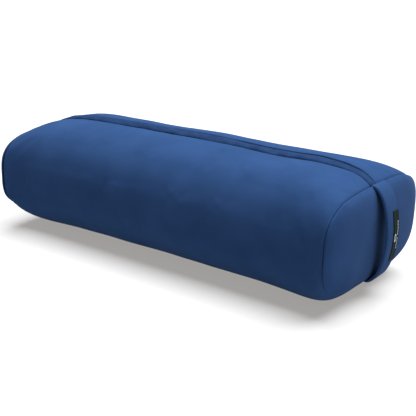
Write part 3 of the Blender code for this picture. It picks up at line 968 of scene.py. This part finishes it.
@dataclass
class Label:
    """A woven label sewn to the front strap, with plain dashes and a plain oval worked on it."""

    strap: Strap
    cloth: Material
    thread: Material
    edge: float = 18.4 * MM
    width: float = 17.6 * MM
    top: float = 133 * MM
    bottom: float = 57 * MM
    thickness: float = 0.6 * MM
    curl: float = 0.7 * MM       # its unsewn side lifts a little
    dashes: Stops = ((0.21, 0.51), (0.545, 0.785))

    def __post_init__(self) -> None:
        """Finds the run of the strap's path that the label lies on."""
        half = self.strap.thickness / 2 + 0.35 * MM
        line = self.strap.path(half, 800)
        self.line = line[(line[:, 1] <= self.top) & (line[:, 1] >= self.bottom)]

    def spot(self, across: float, along: float, lift: float) -> tuple[float, float, float]:
        """A point on the label.

        Args:
            across: share of its width, from the sewn side by the strap's edge.
            along: share of its length, from the top.
            lift: distance out from its back.

        Returns:
            The point.
        """
        place = along * (len(self.line) - 1)
        k = min(int(place), len(self.line) - 2)
        low, high = self.line[k], self.line[k + 1]
        x, z = low + (high - low) * (place - k)
        run = self.line[min(k + 6, len(self.line) - 1)] - self.line[max(k - 6, 0)]
        run = run / np.linalg.norm(run)
        lift += self.curl * across ** 3 * (0.7 + 0.6 * ripple(along, 0.5, 2.0))
        y = self.edge - self.width * across + 0.4 * MM * math.sin(3.0 * along)
        return (x - run[1] * lift, y, z + run[0] * lift)

    def build(self) -> list[Object]:
        """Makes the label and the thread worked on it."""
        across = [0.0, *np.linspace(0.0, 1.0, 15), 1.0]
        points, flat = [], []
        for along in np.linspace(0.0, 1.0, 50):
            outer = [self.spot(a, along, self.thickness) for a in across]
            inner = [self.spot(a, along, 0.0) for a in reversed(across)]
            ring = outer + inner
            ring.append(ring[0])
            points.append(ring)
            flat.append([(along * (self.top - self.bottom), k * MM) for k in range(len(ring))])
        label = tube("woven_label_cloth", points, flat, self.cloth)
        settle(label, "bolster", "label", "woven_label")
        return [label, self.marks(), self.sewing()]

    def marks(self) -> Object:
        """Works the dashes and the oval in raised satin stitch."""
        made = bmesh.new()
        patches, count, spans = [], 5, np.linspace(0, 1, 5)
        for start, end in self.dashes:
            step = (end - start) / count
            for k in range(count):
                low, high = start + k * step, start + (k + 0.72) * step
                patches.append([[(0.19 + 0.08 * a, low + (high - low) * t,
                                  math.sin(math.pi * a) ** 0.5) for a in spans]
                                for t in np.linspace(0, 1, 6)])
        patches.append([[(0.66 + (0.1 + 0.07 * a) * math.cos(t),
                          0.535 + (0.055 + 0.025 * a) * math.sin(t),
                          math.sin(math.pi * a) ** 0.5) for a in spans]
                        for t in np.linspace(0, math.tau, 40)])
        base, length = self.thickness + 0.05 * MM, self.top - self.bottom
        for patch in patches:
            top = [[self.spot(a, t, base + 0.22 * MM * lift) for a, t, lift in row]
                   for row in patch]
            flat = [[(a * self.width, t * length) for a, t, _ in row] for row in patch]
            part = cloth_grid(np.array(top), np.array(flat), merge=True)
            mesh = bpy.data.meshes.new("mark")
            part.to_mesh(mesh)
            part.free()
            made.from_mesh(mesh)
            bpy.data.meshes.remove(mesh)
        bmesh.ops.recalc_face_normals(made, faces=made.faces)
        for face in made.faces:
            if face.normal.x < -0.2:
                face.normal_flip()
        marks = piece("label_marks", made, self.thread)
        thicken(marks, 0.15 * MM)
        return settle(marks, "bolster", "label")

    def sewing(self) -> Object:
        """Sews the label down along its top, bottom and outer side."""
        lift = self.thickness + 0.05 * MM
        rows = []
        for path in ([(0.07, t) for t in np.linspace(0.02, 0.98, 60)],
                     [(a, 0.025) for a in np.linspace(0.07, 0.93, 20)],
                     [(a, 0.975) for a in np.linspace(0.07, 0.93, 20)]):
            line = np.array([self.spot(a, t, lift) for a, t in path])
            rows.append((line, np.tile([1.0, 0.0, 0.0], (len(line), 1))))
        stitching = Stitching(2.2 * MM, 1.6 * MM, 0.16 * MM)
        return stitching.sew("label_stitches", rows, self.cloth, "label")


@dataclass
class Zip:
    """The zip's coils, and its cast slider and pull with their edges softened."""

    nylon: Material
    metal: Material
    stop_metal: Material
    pitch: float = 1.5 * MM
    wire: float = 0.3 * MM       # radius of the monofilament
    turn_points: int = 8
    sides: int = 5

    def coil(self, node: str) -> Object:
        """Winds one coil in the place of its CAD solid."""
        low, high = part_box(node)
        turns = int((high.x - low.x - 2 * self.wire) / self.pitch)
        middle = (low + high) / 2
        wide, tall = (high.y - low.y) / 2 - self.wire, (high.z - low.z) / 2 - self.wire
        count = turns * self.turn_points
        route = []
        for k in range(count + 1):
            angle = math.tau * k / self.turn_points
            route.append((low.x + self.wire + (k / count) * (high.x - low.x - 2 * self.wire),
                          middle.y + wide * math.cos(angle), middle.z + tall * math.sin(angle)))
        line = np.array(route)
        runs = np.gradient(line, axis=0)
        runs /= np.linalg.norm(runs, axis=1, keepdims=True)
        ups = np.cross(runs, [1.0, 0.0, 0.0])
        ups /= np.linalg.norm(ups, axis=1, keepdims=True)
        sides = np.cross(runs, ups)
        around = np.linspace(0, math.tau, self.sides + 1)
        points = line[:, None] + self.wire * (np.cos(around)[None, :, None] * ups[:, None]
                                              + np.sin(around)[None, :, None] * sides[:, None])
        points[:, -1] = points[:, 0]
        made = tube(node + "_wound", points, np.zeros((*points.shape[:2], 2)), self.nylon)
        return settle(made, "bolster", "zip_coil", node)

    @staticmethod
    def cast(node: Object, body: str, slot: str, metal: Material,
             edge: float) -> Object:
        """Softens the edges of a cast part, on a copy of its CAD solid.

        Args:
            node: the CAD part.
            body: the body that it rides on.
            slot: its material slot; not used.
            metal: its finish.
            edge: radius of its edges.

        Returns:
            The finished part.
        """
        bm = bmesh.new()
        bm.from_mesh(node.data)
        bmesh.ops.remove_doubles(bm, verts=bm.verts, dist=0.01 * MM)
        bmesh.ops.dissolve_limit(bm, angle_limit=math.radians(1), verts=bm.verts, edges=bm.edges)
        sharp = [e for e in bm.edges
                 if len(e.link_faces) == 2 and e.calc_face_angle() > math.radians(25)]
        bmesh.ops.bevel(bm, geom=sharp, offset=edge, offset_type="OFFSET", segments=2, profile=0.5,
                        affect="EDGES", clamp_overlap=True, material=-1)
        bmesh.ops.recalc_face_normals(bm, faces=bm.faces)
        for face in bm.faces:
            face.smooth = face.calc_area() < (0.4 * MM) ** 2
        return settle(piece(node.name + "_cast", bm, metal), body, slot, node.name)

    def build(self, nodes: dict[str, Object]) -> None:
        """Makes the coils, stops, slider and pull."""
        stop = ("bolster", "stop_metal", self.stop_metal, 0.25 * MM)
        for side in ("left", "right"):
            self.coil(f"zip_coil_{side}")
            self.cast(nodes[f"top_stop_{side}"], *stop)
        self.cast(nodes["bottom_stop"], *stop)
        self.cast(nodes["zip_slider"], "slider", "slider_metal", self.metal, 0.15 * MM)
        self.cast(nodes["zip_pull"], "pull", "slider_metal", self.metal, 0.2 * MM)


# ---------------------------------------------------------------- studio
@dataclass
class Studio:
    """Floor, lights and camera."""

    azimuth: float = 36.69
    elevation: float = 17.24
    roll: float = 1.15
    distance: float = 1.351
    target: tuple[float, float, float] = (0.0, 0.0, 0.08)
    lens: float = 69.45
    shift: tuple[float, float] = (0.0260, -0.0184)
    floor_colour: str = "#9c9d9f"
    glow: float = 0.34           # the floor is a lit table, which keeps its shadows pale
    warmth: str = "#fffaf4"
    sky: float = 0.15
    sun: float = 9.3
    sun_spread: float = 64       # degrees, as wide as a large softbox
    sun_from: tuple[float, float, float] = (0.05, 0.30, 1.0)

    def camera(self) -> None:
        """Places the camera."""
        turn, lift, roll = (math.radians(a) for a in (self.azimuth, self.elevation, self.roll))
        back = Vector((math.sin(turn) * math.cos(lift), -math.cos(turn) * math.cos(lift),
                       math.sin(lift)))
        right = Vector((math.cos(turn), math.sin(turn), 0.0))
        up = back.cross(right)
        right, up = (math.cos(roll) * right + math.sin(roll) * up,
                     math.cos(roll) * up - math.sin(roll) * right)
        lens = bpy.data.cameras.new("camera")
        lens.lens, lens.sensor_width = self.lens, 36.0
        lens.shift_x, lens.shift_y = self.shift
        lens.clip_end = 100.0
        made = bpy.data.objects.new("camera", lens)
        made.matrix_world = Matrix.Translation(Vector(self.target) + back * self.distance) @ \
            Matrix((right, up, back)).transposed().to_4x4()
        bpy.context.scene.collection.objects.link(made)
        bpy.context.scene.camera = made

    def floor(self) -> None:
        """Lays a plain pale floor that reaches past the horizon of every view."""
        bm = bmesh.new()
        bmesh.ops.create_grid(bm, x_segments=1, y_segments=1, size=60.0)
        made, _, _ = begin("painted_studio_floor", {
            "Base Color": linear(self.floor_colour), "Roughness": 0.9, "Specular IOR Level": 0.1,
            "Emission Color": linear(self.warmth), "Emission Strength": self.glow})
        piece("floor", bm, made)

    def lights(self) -> None:
        """Adds one broad key from above and behind, and an even sky."""
        scene = bpy.context.scene
        world = bpy.data.worlds.new("sky")
        world.use_nodes = True
        background = world.node_tree.nodes["Background"]
        background.inputs["Color"].default_value = linear("#f2f5fa")
        background.inputs["Strength"].default_value = self.sky
        scene.world = world
        key = bpy.data.lights.new("key", "SUN")
        key.energy, key.angle = self.sun, math.radians(self.sun_spread)
        made = bpy.data.objects.new("key", key)
        made.rotation_euler = Vector(self.sun_from).to_track_quat("Z", "Y").to_euler()
        scene.collection.objects.link(made)
        scene.view_settings.view_transform = "Standard"
        scene.view_settings.look = "None"


def dress(frame: dict[str, Any]) -> None:
    """Gives every CAD node that stays its own material."""
    tape = PlainCloth("woven_polyester_zip_tape", "#1d3157", "#152442", 0.7 * MM)
    coil = Nylon("nylon_zip_coil", "#1c3059")
    metal = Plated("nickel_plated_zinc")
    stop = Plated("nickel_plated_wire", roughness=0.4)
    cotton = PlainCloth("bleached_cotton_lining", "#e9e4d8", "#d6cfbf", 0.8 * MM)
    wadding = PlainCloth("polyester_wadding", "#f1f1ee", "#dfdfda", 3 * MM, 0.95, 0.8 * MM)
    foam = PlainCloth("open_cell_polyurethane_foam", "#efe3ae", "#d8c98c", 1.2 * MM, 0.9, 0.4 * MM)
    finishes = {"zip_tape": tape, "zip_coil": coil, "slider_metal": metal, "stop_metal": stop,
                "liner_cotton": cotton, "wadding": wadding, "foam": foam}
    groups = {"zip_tape_": tape, "zip_coil_": coil, "zip_slider": metal, "zip_pull": metal,
              "top_stop_": stop, "bottom_stop": stop, "inner_liner": cotton, "liner_end_": cotton,
              "batting_": wadding, "foam_slab_": foam}
    made = {finish.name: finish.make() for finish in finishes.values()}
    for name, node in frame["nodes"].items():
        for start, finish in groups.items():
            if name.startswith(start):
                node.data.materials.clear()
                node.data.materials.append(made[finish.name])


def main() -> None:
    """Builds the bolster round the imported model."""
    logging.basicConfig(level=logging.INFO, format="%(name)s: %(message)s")
    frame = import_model()
    studio = Studio()
    studio.camera()
    form = Form()
    fabric = Microfibre("navy_polyester_microfibre").make()
    thread = PlainCloth("navy_polyester_thread", "#24457c", "#1a3766", 0.3 * MM, 0.6).make()
    # A near-black navy for the tube in each end seam: painted shade for the shadow down in the
    # groove.
    seam_shade_finish = PlainCloth("navy_painted_seam_shade", "#0a1530", "#070f24", 0.5 * MM, 0.9).make()
    Wrap(form, fabric, thread).build()
    for end in End:
        EndPanel(form, fabric, seam_shade_finish, end).build()
        strap = Strap(form, fabric, thread, end)
        strap.build()
        if end is End.FRONT:
            strap_front = strap
    # The lap gets a darker copy of the cover fabric: painted shade for the light the folded strip
    # loses as it tilts away.
    lap_painted_shade = Microfibre("navy_polyester_microfibre_cut_across_its_nap", colour="#1e3354",
                            shade="#182a49", cloud=16 * MM).make()
    Lap(form, lap_painted_shade, thread).build()
    damask = PlainCloth("dark_green_damask_label", "#142220", "#0d1816", 0.45 * MM, 0.7).make()
    floss = PlainCloth("pale_rayon_floss", "#c4cfd4", "#a9b6bd", 0.3 * MM, 0.5).make()
    Label(strap_front, damask, floss).build()
    dress(frame)
    Zip(bpy.data.materials["nylon_zip_coil"], bpy.data.materials["nickel_plated_zinc"],
        bpy.data.materials["nickel_plated_wire"]).build(frame["nodes"])
    studio.floor()
    studio.lights()


if __name__ == "__main__":
    main()
